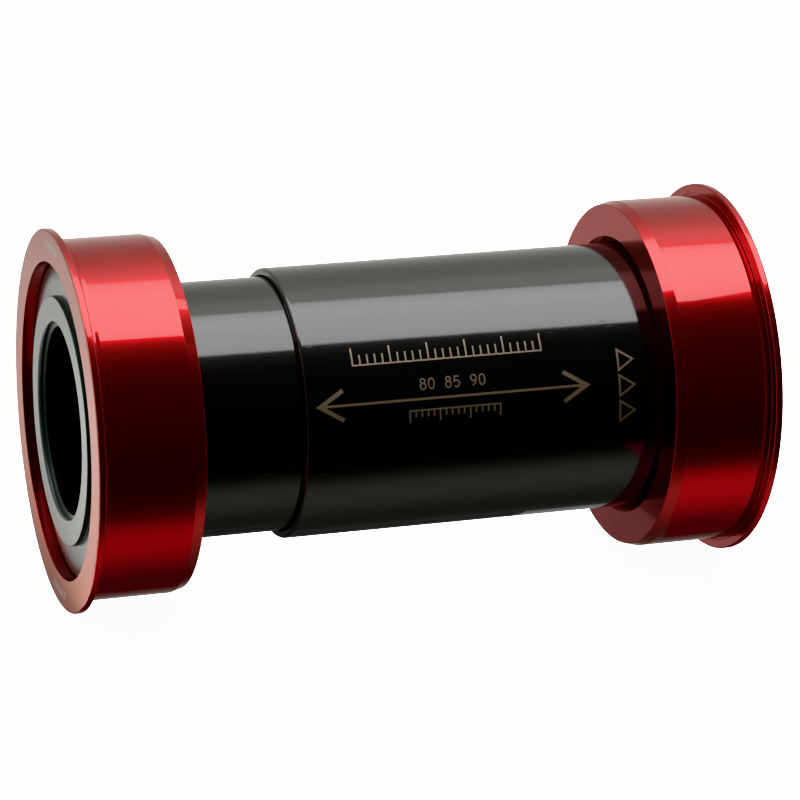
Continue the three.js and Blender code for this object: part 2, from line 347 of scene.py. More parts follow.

# %% [markdown]
# ## The red cups' finish
# Anodising grows a clear, hard layer on turned aluminium, and a dye fills it. Light goes through the dyed
# layer, comes back from the metal and is red, while the layer's own surface reflects white. A metallic
# shader gives the first and a coat gives the second. The lathe's fine lay runs round the axis, so its
# height depends only on the places along and out. The flange's face is faced off more coarsely than the
# barrel and looks satin, so a mask on the last hundredths of a millimetre raises its roughness and takes
# most of the coat away. The flange's rounded edge, and nothing else, is paler: worn dye and a painted
# highlight.
#
# The face's colour is a painted reflection, warmer low down and greyer high up, as the table and the pale
# room look in it from the front left. It isn't something that dye does: seen from an end, the face is too
# orange. The coat's index and the specular tint are tuned for the same view.

# %% Red anodised aluminium
red = Finish("red_dyed_aluminium", Metallic=1.0, Specular_Tint=(1.0, 0.8, 0.8, 1), IOR=1.5,
             Coat_Roughness=0.04, Coat_IOR=1.77)
along, out, here = red.place()
outboard = red.node("ShaderNodeMath", {"operation": "ABSOLUTE"}, {0: along})
face = red.step(outboard, HALF_LENGTH - 0.05, HALF_LENGTH - 0.01)
cloud = red.noise(here, 90.0, detail=3.0)
lay = red.lathe_noise(along, out, 9.0, detail=3.0)
edge = cup.outer + HALF_LENGTH
# A paler band on the flange's rounded edge: partly worn dye, partly a painted highlight.
edge_wear_and_highlight = red.step(out + outboard + red.noise(here, 500.0) * 0.06, edge - 0.16, edge - 0.11)
dyed = red.mix(cloud, (0.215, 0.003, 0.004, 1), (0.265, 0.004, 0.006, 1))
height = Value(red, red.node("ShaderNodeSeparateXYZ", inputs={0: here}).socket.node.outputs[2])
# Painted reflection: the face's colour goes from warm low down to grey high up, by height.
painted_reflection_by_height = red.step(height / METRES + cloud * 8, -16.0, 12.0)
face_painted_reflection = red.mix(painted_reflection_by_height, (0.15, 0.035, 0.008, 1), (0.15, 0.085, 0.065, 1))
red.drive(
    Base_Color=red.mix(edge_wear_and_highlight * 0.4, red.mix(face, dyed, face_painted_reflection), (0.45, 0.22, 0.19, 1)),
    Roughness=0.14 + lay * 0.06 + face * 0.16,
    Coat_Weight=0.35 - face * 0.32,
    Normal=red.bump(lay, 0.35, under=red.bump(red.noise(here, 260.0), 2.5)),
)
print(red.material.name, "has", len(red.tree.nodes), "nodes")

# %% [markdown]
# ## The cups
# A cup is turned from one piece: a thin flange that stops against the frame, a barrel that presses into
# the shell with a tapered lead-in, and a stepped bore. From the outside in, the bore holds the dust cover,
# the bearing and the sleeve. A relief beside the flange lets the shell seat square. Every one of these
# steps is a corner of a single outline, so the whole cup is one closed surface.

# %% Cups
cover = Ring("left_dust_cover")
race = Ring("left_outer_race")
sleeve = Ring("outer_sleeve")
barrel = Ring("left_cup", start=cup.start + 3, end=cup.end - 1)

FLANGE = 1.0
CUP_LENGTH = depth(cup.end)
COUNTERBORE = cover.outer + 0.2
SEAT = race.outer + 0.02
SOCKET = cup.inner
RELIEF = 0.12
SEAT_STEP = 0.25
LEAD_IN = (1.45, 0.4)  # along and in
MOUTH = 0.85


def cup_outline():
    """The cup's section, from the counterbore's edge round the flange, the barrel and back up the bore."""
    bearing_end, bearing_start = depth(race.end) + 0.02, depth(race.start)
    return rounded([
        (0, COUNTERBORE, 0.08), (0, cup.outer, 0.25), (FLANGE, cup.outer, 0.2),
        (FLANGE, barrel.outer + SEAT_STEP, 0.03), (FLANGE - 0.1, barrel.outer + SEAT_STEP, 0.03),
        (FLANGE - 0.1, barrel.outer - RELIEF, 0.08), (FLANGE + 0.6, barrel.outer - RELIEF, 0.15),
        (FLANGE + 1.0, barrel.outer, 0.1), (CUP_LENGTH - LEAD_IN[0], barrel.outer, 0.25),
        (CUP_LENGTH, barrel.outer - LEAD_IN[1], 0.1), (CUP_LENGTH, SOCKET + MOUTH, 0.08),
        (CUP_LENGTH - MOUTH, SOCKET, 0.08), (bearing_end, SOCKET, 0.06), (bearing_end, SEAT, 0.05),
        (bearing_start, SEAT, 0.08), (bearing_start, COUNTERBORE, 0.1),
    ])


for side in SIDES:
    piece = turned(f"{side}_cup_fine", at_side(side, cup_outline()))
    put(piece, f"{side}_half", "red_anodised", red.material, f"{side}_cup")
print("a cup has", len(piece.data.polygons), "faces")

# %% [markdown]
# ## The dust covers
# The cover is a moulded plastic disc that turns with the spindle. Its rim hides the bearing, its raised
# boss touches the crank arm, and a thin bush behind it lines the inner race. The rim is crowned: it falls
# away gently towards its edge. Moulded plastic shows a fine even grain and a soft edge. It is a satin
# black, but seen at a low angle it mirrors the pale room and looks grey. Its index is set below the 1.5
# that is usual for such a plastic: it was tuned for the view from the front left.

# %% Cover plastic and covers
plastic = Finish("moulded_cover", Metallic=0.0, IOR=1.33, Coat_Weight=0.0)
along, out, here = plastic.place()
grain = plastic.noise(here, 9000.0, detail=2.0)
sweep = plastic.lathe_noise(along, out, 1.6)
# Painted shade: inside the bore the cover's colour is made nearly black.
bore = 1 - plastic.step(out, 12.1, 12.2)
tint = plastic.mix(plastic.noise(here, 400.0), (0.025, 0.031, 0.029, 1), (0.037, 0.045, 0.042, 1))
plastic.drive(
    Base_Color=plastic.mix(bore, tint, (0.004, 0.004, 0.004, 1)),
    Roughness=0.22 + grain * 0.06 + sweep * 0.05,
    Normal=plastic.bump(grain, 0.6, under=plastic.bump(sweep, 1.2)),
)

inner = Ring("left_inner_race")
RIM = 1.25  # how deep the cover's rim lies below the flange's face
BOSS = 15.9
CROWN = 18.5  # where the rim starts to fall away towards its edge
CROWN_FALL = 0.35  # how far it has fallen there
MOUTH_RADIUS = 12.55
MOUTH_DEPTH = 0.8
SPINDLE = 12.02
HUB = 14.0


def cover_outline():
    """The cover's section: boss face, step down to the rim, round the back and along the bush."""
    front, end = depth(cover.start), depth(cover.end)
    back, seat = RIM + 0.95, depth(race.start) - 0.02
    bush = inner.inner - 0.04
    return rounded([
        (front, MOUTH_RADIUS, 0.4), (front, BOSS, 0.1), (RIM, BOSS, 0.06), (RIM, CROWN, 9.0),
        (RIM + CROWN_FALL, cover.outer, 0.2), (back, cover.outer, 0.1), (back, HUB, 0.08),
        (seat, HUB, 0.05), (seat, bush, 0.03), (end, bush, 0.1), (end, SPINDLE, 0.05),
        (front + MOUTH_DEPTH, SPINDLE, 0.1), (front + MOUTH_DEPTH, MOUTH_RADIUS, 0.1),
    ])


for side in SIDES:
    piece = turned(f"{side}_dust_cover_fine", at_side(side, cover_outline()))
    put(piece, f"{side}_rotor", "cover_plastic", plastic.material, f"{side}_dust_cover")
print(f"the inner race's bore is {2 * inner.inner:.2f} across")

# %% [markdown]
# ## The races
# Both races are ground steel with a ball groove turned into them. The groove is an arc a little larger
# than the ball, about the centre of the ball's path. Ground steel is bright, with a very fine lay round
# the axis. The outer race carries a recess on each side for the seals, and the inner race a cut-back land
# under each seal's lip.

# %% Ground steel and races
steel = Finish("ground_steel", Metallic=1.0, IOR=2.5)
along, out, here = steel.place()
lay = steel.lathe_noise(along, out, 14.0, detail=3.0)
steel.drive(
    Base_Color=steel.mix(steel.noise(here, 150.0), (0.55, 0.55, 0.56, 1), (0.66, 0.66, 0.67, 1)),
    Roughness=0.14 + lay * 0.12,
    Normal=steel.bump(lay, 0.3),
)

HALF_WIDTH = (race.end - race.start) / 2
PITCH = (inner.inner + race.outer) / 2
BALL = 3.572 / 2
GROOVE = BALL + 0.04
SHOULDER = 1.1  # from the pitch circle to a race's shoulder
LEDGE = HALF_WIDTH - 0.9  # where the seals' ledges lie
SEAL_SEAT = race.outer - 1.0
LAND = PITCH - SHOULDER - 0.3
groove_angle = math.acos(SHOULDER / GROOVE)


def outer_race_outline():
    groove = arc_points((0, PITCH), GROOVE, math.pi / 2 - groove_angle, math.pi / 2 + groove_angle, 24)
    return rounded([
        (-HALF_WIDTH, race.outer, 0.2), (HALF_WIDTH, race.outer, 0.2), (HALF_WIDTH, SEAL_SEAT, 0.08),
        (LEDGE, SEAL_SEAT, 0.03), (LEDGE, PITCH + SHOULDER, 0.08), *groove,
        (-LEDGE, PITCH + SHOULDER, 0.08), (-LEDGE, SEAL_SEAT, 0.03), (-HALF_WIDTH, SEAL_SEAT, 0.08),
    ])


def inner_race_outline():
    groove = arc_points((0, PITCH), GROOVE, -math.pi / 2 - groove_angle, -math.pi / 2 + groove_angle, 24)
    return rounded([
        (-HALF_WIDTH, inner.inner, 0.2), (-HALF_WIDTH, LAND, 0.1), (-LEDGE, LAND, 0.03),
        (-LEDGE, PITCH - SHOULDER, 0.08), *groove, (LEDGE, PITCH - SHOULDER, 0.08), (LEDGE, LAND, 0.03),
        (HALF_WIDTH, LAND, 0.1), (HALF_WIDTH, inner.inner, 0.2),
    ])


def in_bearing(side, outline):
    """An outline centred on the ball plane, moved to that side's bearing."""
    return outline + [SIDES[side] * -race.centre, 0]


for side in SIDES:
    outer_piece = turned(f"{side}_outer_race_fine", in_bearing(side, outer_race_outline()))
    put(outer_piece, f"{side}_half", "bearing_steel", steel.material, f"{side}_outer_race")
    inner_piece = turned(f"{side}_inner_race_fine", in_bearing(side, inner_race_outline()))
    put(inner_piece, f"{side}_rotor", "bearing_steel", steel.material, f"{side}_inner_race")
print(f"pitch radius {PITCH:.2f}, groove radius {GROOVE:.3f}")

# %% [markdown]
# ## The seals
# A bearing seal is a moulded rubber disc. Its rim snaps into the outer race's recess and its thin lip runs
# close to the inner race. The outer face has a shallow sunk band, where a steel washer stiffens it. Rubber
# is matt, with a fine grain and a little dust in its colour.

# %% Seal rubber and seals
rubber = Finish("moulded_rubber", Metallic=0.0, IOR=1.5)
along, out, here = rubber.place()
grain = rubber.noise(here, 6000.0, detail=3.0)
rubber.drive(
    Base_Color=rubber.mix(rubber.noise(here, 700.0, detail=4.0), (0.012, 0.012, 0.013, 1),
                          (0.030, 0.030, 0.031, 1)),
    Roughness=0.5 + grain * 0.25,
    Normal=rubber.bump(grain, 2.0),
)


def seal_outline(face):
    """A seal's section. face is -1 for a seal that looks towards -X and 1 for one that looks towards +X."""
    inside, outside = LEDGE + 0.1, HALF_WIDTH - 0.2
    rim, lip = SEAL_SEAT - 0.08, LAND + 0.08
    corners = [
        (inside, rim, 0.12), (outside, rim, 0.12),
        (outside, rim - 0.7, 0.06), (outside - 0.1, rim - 0.85, 0.06),
        (outside - 0.1, lip + 1.0, 0.06), (outside, lip + 0.85, 0.05), (outside, lip + 0.65, 0.05),
        (outside - 0.2, lip, 0.04), (inside + 0.2, lip, 0.04), (inside, lip + 0.7, 0.06),
    ]
    return rounded([(face * along, radius, fillet) for along, radius, fillet in corners])


for side, sign in SIDES.items():
    for place, face in (("outboard", sign), ("inboard", -sign)):
        piece = turned(f"{side}_{place}_seal_fine", in_bearing(side, seal_outline(face)))
        put(piece, f"{side}_half", "seal_rubber", rubber.material, f"{side}_{place}_seal")
print("4 seals")

# %% [markdown]
# ## Balls
# The balls are ceramic: dark, hard and polished almost to a mirror. A globe grid gives their points, with
# one point at each pole. They are hidden behind the seals, so a few hundred faces each are enough.

# %% Ceramic and balls
ceramic = Finish("polished_ceramic", Metallic=0.0, IOR=2.0)
along, out, here = ceramic.place()
mottle = ceramic.noise(here, 2500.0, detail=3.0)
ceramic.drive(
    Base_Color=ceramic.mix(mottle, (0.020, 0.020, 0.022, 1), (0.045, 0.045, 0.050, 1)),
    Roughness=0.05 + mottle * 0.05,
)
BALLS = 15
ROWS, COLUMNS = 15, 24


def globe(centre, radius):
    """A sphere: height is cos(latitude) along X, and each latitude is a circle of radius sin(latitude)."""
    latitude = np.linspace(0, math.pi, ROWS + 1)[1:-1, None]
    longitude = np.linspace(0, 2 * math.pi, COLUMNS, endpoint=False)[None]
    x = np.broadcast_to(np.cos(latitude), (ROWS - 1, COLUMNS))
    body = np.stack([x, np.sin(latitude) * np.cos(longitude), np.sin(latitude) * np.sin(longitude)], -1)
    points = np.concatenate([body.reshape(-1, 3), [[1, 0, 0], [-1, 0, 0]]]) * radius + centre
    band = cells(ROWS - 1, COLUMNS, close_rows=False)
    ring = np.arange(COLUMNS)
    after = (ring + 1) % COLUMNS
    last = (ROWS - 2) * COLUMNS
    top = np.stack([np.full(COLUMNS, len(points) - 2), ring, after, after], -1)
    bottom = np.stack([np.full(COLUMNS, len(points) - 1), last + after, last + ring, last + ring], -1)
    return points, np.concatenate([band, top, bottom])


print("a ball has", (ROWS - 2) * COLUMNS + 2 * COLUMNS, "faces")

# %% Place the balls
for side in SIDES:
    for number in range(1, BALLS + 1):
        node = f"{side}_ball_{number:02d}"
        low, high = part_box(node)
        centre = (np.array(low) + np.array(high)) / 2 / METRES
        put(solid(f"{node}_fine", *globe(centre, BALL)), f"{side}_ball_set", "ball_ceramic",
            ceramic.material, node)
print(2 * BALLS, "balls of", 2 * BALL, "mm")

# %% [markdown]
# ## The cages
# The cage is a moulded ring with a round pocket for each ball, which keeps the balls apart. A Boolean
# would cut the pockets, but it leaves ragged faces round each one. Here the ring is a circle of equal
# cells, and each cell is a grid that starts at a rectangular border, closes in on its round pocket, goes
# down the pocket's wall and opens out again inside. Equal cells meet point to point, so they weld cleanly.

# %% Cage plastic and cages
tan_plastic = Finish("tan_moulded_plastic", Metallic=0.0, IOR=1.5)
along, out, here = tan_plastic.place()
fibre = tan_plastic.noise(here, 3000.0, detail=4.0)
tan_plastic.drive(
    Base_Color=tan_plastic.mix(fibre, (0.42, 0.30, 0.17, 1), (0.55, 0.42, 0.26, 1)),
    Roughness=0.38 + fibre * 0.15,
    Normal=tan_plastic.bump(fibre, 1.5),
)
CAGE_INNER, CAGE_OUTER, CAGE_HALF = PITCH - 0.55, PITCH + 0.55, 2.45
POCKET = BALL + 0.2


def weld(points, faces):
    """Points nearer than a ten-thousandth of a millimetre become one point, and faces follow them."""
    _, keep, number = np.unique(np.round(points, 4), axis=0, return_index=True, return_inverse=True)
    return points[keep], number.reshape(-1)[faces]


def cage(phase):
    """The cage about the ball plane, its first pocket at the angle phase.

    A point of a cell lies between its pocket and its border. On the pocket, at angle a, it is at
    x = r cos(a) and round the axis by asin(r sin(a) / R). On the border it is on the rectangle that the
    same direction meets. The share goes 1 to 0 on the outside, stays 0 down the wall, and then 0 to 1.
    """
    round_pocket = np.linspace(0, 2 * math.pi, 48, endpoint=False)[:, None]
    bend = np.linspace(0, math.pi / 2, 4)
    fillet = 0.1
    share = np.concatenate([[1, 0.6, 0.25, 0.06], np.zeros(8), [0.06, 0.25, 0.6, 1]])
    widen = fillet * (1 - np.concatenate([np.sin(bend), np.sin(bend[::-1])]))
    drop = fillet * (1 - np.cos(bend))
    radius = np.concatenate([CAGE_OUTER - drop, CAGE_INNER + drop[::-1]])
    pocket = POCKET + np.concatenate([np.full(4, fillet), widen, np.full(4, fillet)])
    radius = np.concatenate([np.full(4, CAGE_OUTER), radius, np.full(4, CAGE_INNER)])
    square = np.stack([np.cos(round_pocket), np.sin(round_pocket)], -1)
    square /= np.abs(square).max(-1, keepdims=True)
    x = pocket * np.cos(round_pocket) * (1 - share) + CAGE_HALF * square[..., 0] * share
    turn = np.arcsin(pocket * np.sin(round_pocket) / radius) * (1 - share)
    turn = turn + math.pi / BALLS * square[..., 1] * share
    centre = phase + np.arange(BALLS) * 2 * math.pi / BALLS
    angle = turn[None] + centre[:, None, None]
    x = np.broadcast_to(x, angle.shape)
    points = np.stack([x, -radius * np.cos(angle), radius * np.sin(angle)], -1).reshape(-1, 3)
    rows, columns = len(round_pocket), len(share)
    cell = cells(rows, columns, close_columns=False)
    row = np.arange(rows)
    after = (row + 1) % rows
    end = np.abs(square[:, 0, 0]) > 1 - 1e-6
    row, after = row[end & end[after]], after[end & end[after]]
    rim = np.stack([after * columns, row * columns, row * columns + columns - 1,
                    after * columns + columns - 1], -1)
    one = np.concatenate([cell, rim])
    faces = (one[None] + np.arange(BALLS)[:, None, None] * rows * columns).reshape(-1, 4)
    return weld(points, faces)


for side in SIDES:
    low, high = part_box(f"{side}_ball_01")
    middle = (np.array(low) + np.array(high)) / 2
    points, faces = cage(math.atan2(middle[2], -middle[1]))
    piece = solid(f"{side}_cage_fine", points + [middle[0] / METRES, 0, 0], faces)
    put(piece, f"{side}_ball_set", "cage_plastic", tan_plastic.material, f"{side}_ball_cage")
print("a cage has", len(piece.data.polygons), "faces")

# %% [markdown]
# ## The sleeves' finish
# The sleeves are anodised black and polished, so they mirror the room in long, straight bands. Black
# anodising hides the metal completely: nearly all of the light comes from the clear layer on top. That
# makes it a dark dielectric with low roughness. A drawn tube is never quite straight, and a faint slow
# waviness along and round it makes the edges of those bands wander.

# %% Black anodised aluminium
black = Finish("black_dyed_aluminium", Metallic=0.0, IOR=1.5)
along, out, here = black.place()
lay = black.lathe_noise(along, out, 6.0, detail=3.0)
smudge = black.noise(here, 220.0, detail=4.0, roughness=0.6)
black.drive(
    Base_Color=black.mix(black.noise(here, 60.0, detail=3.0), (0.0050, 0.0050, 0.0052, 1),
                         (0.0075, 0.0075, 0.0078, 1)),
    Roughness=0.05 + lay * 0.04 + smudge * 0.05 + black.scratches(along, here) * 0.15,
    Normal=black.bump(lay, 0.15, under=black.bump(black.noise(here, 150.0), 9.0)),
)
print(black.material.name, "has", len(black.tree.nodes), "nodes")

# %% [markdown]
# ## The telescoping sleeve
# The sleeve keeps dirt off the spindle. Its outer tube is held by the right cup and its inner one by the
# left cup, and they slide into each other so that one unit fits several shell widths. Each tube ends in a
# socketed collar with an O-ring, and a third O-ring seals the slide. The outer tube's open end is rounded.

# %% Sleeves
slide = Ring("inner_sleeve")
slide_tube = Ring("inner_sleeve", start=slide.end - 2)
SEAL_NODES = ("left_sleeve_o_ring", "right_sleeve_o_ring", "telescope_o_ring")
seal_rings = {node: Ring(node) for node in SEAL_NODES}
WALL = 0.95  # of the outer tube
GROOVE_SPARE = 0.15  # between an O-ring and each side of its groove


def groove_corners(node, surface, floor):
    """Corners of an O-ring's groove, for an outline that runs towards +X."""
    start, end = seal_rings[node].start - GROOVE_SPARE, seal_rings[node].end + GROOVE_SPARE
    return [(start, surface, 0.08), (start, floor, 0.08), (end, floor, 0.08), (end, surface, 0.08)]


def outer_sleeve_outline():
    bore, collar_bore = sleeve.outer - WALL, sleeve.inner
    return rounded([
        (sleeve.start, bore, 0.12), (sleeve.start, sleeve.outer, 0.45),
        *groove_corners("right_sleeve_o_ring", sleeve.outer, seal_rings["right_sleeve_o_ring"].inner),
        (sleeve.end, sleeve.outer, 0.3), (sleeve.end, collar_bore, 0.2),
        (sleeve.end - 6, collar_bore, 0.3), (sleeve.end - 6, bore, 0.3),
    ])


def inner_sleeve_outline():
    ring = seal_rings["left_sleeve_o_ring"]
    collar_end = ring.end + GROOVE_SPARE + 0.3
    return rounded([
        (slide.start, slide.inner, 0.2), (slide.start, slide.outer, 0.3),
        *groove_corners("left_sleeve_o_ring", slide.outer, ring.inner),
        (collar_end, slide.outer, 0.1), (collar_end, slide_tube.outer, 0.2),
        *groove_corners("telescope_o_ring", slide_tube.outer, seal_rings["telescope_o_ring"].inner),
        (slide.end, slide_tube.outer, 0.3), (slide.end, slide.inner, 0.2),
    ])


put(turned("outer_sleeve_fine", outer_sleeve_outline()), "right_half", "black_anodised", black.material,
    "outer_sleeve")
put(turned("inner_sleeve_fine", inner_sleeve_outline()), "left_half", "black_anodised", black.material,
    "inner_sleeve")
print(f"outer tube {sleeve.start:.2f} to {sleeve.end:.2f}, inner tube {slide.start:.2f} to {slide.end:.2f}")

# %% [markdown]
# ## The O-rings
# Each O-ring sits pressed in its groove, so its round section is flattened a little where it touches the
# groove and the bore. A square with large corner radii is exactly that shape.

# %% O-rings
for node, ring in seal_rings.items():
    section = [(ring.start, ring.inner, 0.3), (ring.start, ring.outer, 0.3),
               (ring.end, ring.outer, 0.3), (ring.end, ring.inner, 0.3)]
    body = "right_half" if node.startswith("right") else "left_half"
    put(turned(f"{node}_fine", rounded(section)), body, "seal_rubber", rubber.material, node)
print(len(seal_rings), "O-rings")

# %% [markdown]
# ## Etched marks
# A laser burns the dye away and leaves dull bronze marks, which sit on the tube without any thickness that
# one could feel. Here each mark is a set of strokes: a narrow flat section carried along a path drawn on
# the unrolled tube, and then wrapped round it. All of them are generic: a double arrow, a ruler, numerals,
# a small scale, three triangles that point to the cup, and short ticks on the flanges.

# %% Strokes on an unrolled tube
bronze = Finish("etched_bronze", Metallic=0.35, IOR=1.5)
along, out, here = bronze.place()
speckle = bronze.noise(here, 9000.0, detail=3.0)
bronze.drive(
    Base_Color=bronze.mix(speckle, (0.13, 0.10, 0.07, 1), (0.26, 0.21, 0.165, 1)),
    Roughness=0.36 + speckle * 0.2,
    Normal=bronze.bump(speckle, 1.0),
)
pale = Finish("etched_pale", Metallic=1.0, Coat_Weight=0.0)
along, out, here = pale.place()
speckle = pale.noise(here, 9000.0, detail=3.0)
pale.drive(
    Base_Color=pale.mix(speckle, (0.22, 0.20, 0.22, 1), (0.34, 0.32, 0.35, 1)),
    Roughness=0.42 + speckle * 0.1,
)
PROUD, SUNK = 0.004, -0.03  # a mark's top above the surface, and its foot below it


def stroke(path, width, closed=False):
    """A stroke along a path of (x, s): at each point the section reaches half the width to both sides.

    The side direction is square to the mean of the two neighbouring directions, and it is lengthened by
    1 / cos(half the turn) so that a bent stroke keeps its width.
    """
    path = np.array(path, float)
    step = np.diff(np.concatenate([path, path[:1]]), axis=0)
    step /= np.linalg.norm(step, axis=1, keepdims=True)
    before, after = np.roll(step, 1, 0), step.copy()
    if not closed:
        before[0], after[-1] = step[0], step[-2]
    mean = before + after
    mean /= np.linalg.norm(mean, axis=1, keepdims=True)
    side = np.stack([-mean[:, 1], mean[:, 0]], -1)
    side *= width / 2 / np.maximum((mean * after).sum(1, keepdims=True), 0.3)
    left, right = path + side, path - side
    section = [np.column_stack([edge, np.full(len(path), height)])
               for edge, height in ((left, SUNK), (left, PROUD), (right, PROUD), (right, SUNK))]
    points = np.stack(section, 1).reshape(-1, 3)
    faces = cells(len(path), 4, close_rows=closed)
    if not closed:
        foot = 4 * (len(path) - 1)
        faces = np.concatenate([faces, [[0, 1, 2, 3], [foot + 3, foot + 2, foot + 1, foot]]])
    return points, faces


def line(start, end, spacing=0.4):
    """Points on a straight path, near enough together to bend with the tube."""
    start, end = np.array(start, float), np.array(end, float)
    count = max(2, int(np.linalg.norm(end - start) / spacing) + 1)
    return start + (end - start) * np.linspace(0, 1, count)[:, None]


def ellipse(centre, across, up, start=0, end=360):
    """Points on an ellipse, or on an arc of one, between two angles in degrees."""
    whole = end - start >= 360
    angle = np.radians(np.linspace(start, end, 25))[:24 if whole else 25]
    return np.array(centre) + np.stack([across * np.cos(angle), up * np.sin(angle)], -1)


def marks(name, strokes, wrap, body, slot, finish):
    """Strokes joined into one piece and wrapped onto the part by a function of (x, s, height)."""
    points, faces, count = [], [], 0
    for stroke_points, stroke_faces in strokes:
        points.append(stroke_points)
        faces.append(stroke_faces + count)
        count += len(stroke_points)
    piece = solid(name, wrap(np.concatenate(points)), np.concatenate(faces))
    return put(piece, body, slot, finish.material)


def round_tube(points):
    """(x, s, height) wrapped round the outer tube: the angle up from its front line is s / radius."""
    x, s, height = points.T
    angle, radius = s / sleeve.outer, sleeve.outer + height
    return np.stack([x, -radius * np.cos(angle), radius * np.sin(angle)], -1)


# %% [markdown]
# The double arrow shows which way the sleeve slides, and the ruler above it shows how far. The numerals
# are drawn with ellipses and lines, as on a drawing office's stencil.

# %% Arrow, ruler, numerals and pointer
def arrow(left, right, up, head=(3.6, 1.9)):
    """A double arrow between two tips: a shaft and a chevron at each end."""
    shaft = stroke(line((left + 0.8, up), (right - 0.8, up)), 0.32)
    heads = []
    for tip, sign in ((left, 1), (right, -1)):
        corner = (tip + sign * 0.5, up)
        arms = [line((tip + sign * head[0], up + head[1]), corner),
                line(corner, (tip + sign * head[0], up - head[1]))[1:]]
        heads.append(stroke(np.concatenate(arms), 0.55))
    return [shaft, *heads]


def ruler(start, end, foot, spacing, tall):
    """Ticks from a base line, every fifth one longer. A negative height lets them hang down."""
    ticks = start + spacing * np.arange(round((end - start) / spacing) + 1)
    lines = [stroke(line((x, foot), (x, foot + tall * (1 if i % 5 == 0 else 0.58))), 0.22)
             for i, x in enumerate(ticks)]
    return [stroke(line((start - 0.11, foot), (end + 0.11, foot)), 0.22), *lines]


def digit(figure):
    """The paths of a numeral in a box 0.6 wide and 1 high, each with whether it is closed."""
    bowl = (ellipse((0.3, 0.3), 0.26, 0.28), True)
    return {
        "0": [(ellipse((0.3, 0.5), 0.26, 0.48), True)],
        "5": [(np.concatenate([line((0.52, 0.97), (0.12, 0.97)), line((0.12, 0.97), (0.08, 0.52))[1:],
                               ellipse((0.28, 0.32), 0.26, 0.3, 125, -140)]), False)],
        "8": [bowl, (ellipse((0.3, 0.78), 0.21, 0.2), True)],
        "9": [(ellipse((0.3, 0.7), 0.25, 0.27), True), (ellipse((0.1, 0.66), 0.45, 0.62, 5, -80), False)],
    }[figure]


def numerals(text, start, foot, height, width=0.2):
    """Numerals side by side from a starting place, each 0.8 of the height further on."""
    drawn = []
    for place, figure in enumerate(text):
        if figure == " ":
            continue
        for path, closed in digit(figure):
            moved = path * height + [start + place * 0.8 * height, foot]
            drawn.append(stroke(moved, width, closed))
    return drawn


ARROW_UP = 3.85  # arc length above the tube's front line
sleeve_marks = arrow(-15.3, 21.1, ARROW_UP)
sleeve_marks += ruler(-10, 15, 8.75, 1.0, 2.3)
sleeve_marks += numerals("80 85 90", -1.6, 5.0, 1.4)
sleeve_marks += ruler(-3.1, 8.9, 2.45, 0.8, -1.5)
for foot in (-1.2, 2.1, 5.4):
    corners = [(25.1, foot), (27.1, foot + 1.3), (25.1, foot + 2.6)]
    edges = [line(corners[corner], corners[(corner + 1) % 3])[:-1] for corner in range(3)]
    sleeve_marks.append(stroke(np.concatenate(edges), 0.28, closed=True))
marks("sleeve_marks", sleeve_marks, round_tube, "right_half", "black_anodised", bronze)
print(len(sleeve_marks), "strokes")

# %% [markdown]
# A row of short ticks is etched on each flange's face, above and below the bore. They show where the cup
# was held when it was pressed in. They are drawn along an arc, and wrapped onto the flat face instead.

# %% Ticks on the flanges
TICK_CIRCLE = 22.5


def on_face(side):
    """A wrap that lays (s, radius, height) on that side's flange: s is the arc along the tick circle."""
    def wrap(points):
        s, radius, height = points.T
        x = np.full(len(s), 0.0) + SIDES[side] * (HALF_LENGTH + height)
        return np.stack([x, -radius * np.cos(s / TICK_CIRCLE), radius * np.sin(s / TICK_CIRCLE)], -1)
    return wrap


for side in SIDES:
    ticks = []
    for middle in (math.pi / 2, 3 * math.pi / 2):
        for place in np.arange(-3, 3.1, 1.0):
            s = middle * TICK_CIRCLE + place
            ticks.append(stroke(line((s, TICK_CIRCLE - 0.5), (s, TICK_CIRCLE + 0.5)), 0.35))
    marks(f"{side}_flange_ticks", ticks, on_face(side), f"{side}_half", "red_anodised", pale)
print(2 * len(ticks), "ticks")

# %% [markdown]
# ## The studio
# Polished metal shows its surroundings more than its own colour, so the lighting is a set of shapes to
# reflect. One long softbox hangs above and a little in front, which draws the bright band along every
# tube. Behind is a pale backdrop and in front it is dark, so the tubes go from pale to black. The world
# gives these broad zones as a function of the direction's angle round the X axis, and the camera itself
# sees a plain pale room. The floor doesn't show in reflections, so its zone comes from the world too.
# The zones' levels, and the cards' further on, are fitted to one view of the unit. In another room, or from
# another side, the same finishes look different.

# %% The room
class Room(Finish):
    """The world's own node tree, with the same ways of adding nodes as a finish."""

    def __init__(self):
        world = bpy.data.worlds.new("studio")
        world.use_nodes = True
        bpy.context.scene.world = world
        self.tree = world.node_tree
        self.background = self.tree.nodes["Background"]


room = Room()
direction = room.node("ShaderNodeTexCoord", output="Generated")
apart = room.node("ShaderNodeSeparateXYZ", inputs={0: direction}).socket.node
sideways, front, up = [Value(room, apart.outputs[i]) * sign for i, sign in enumerate((1, -1, 1))]
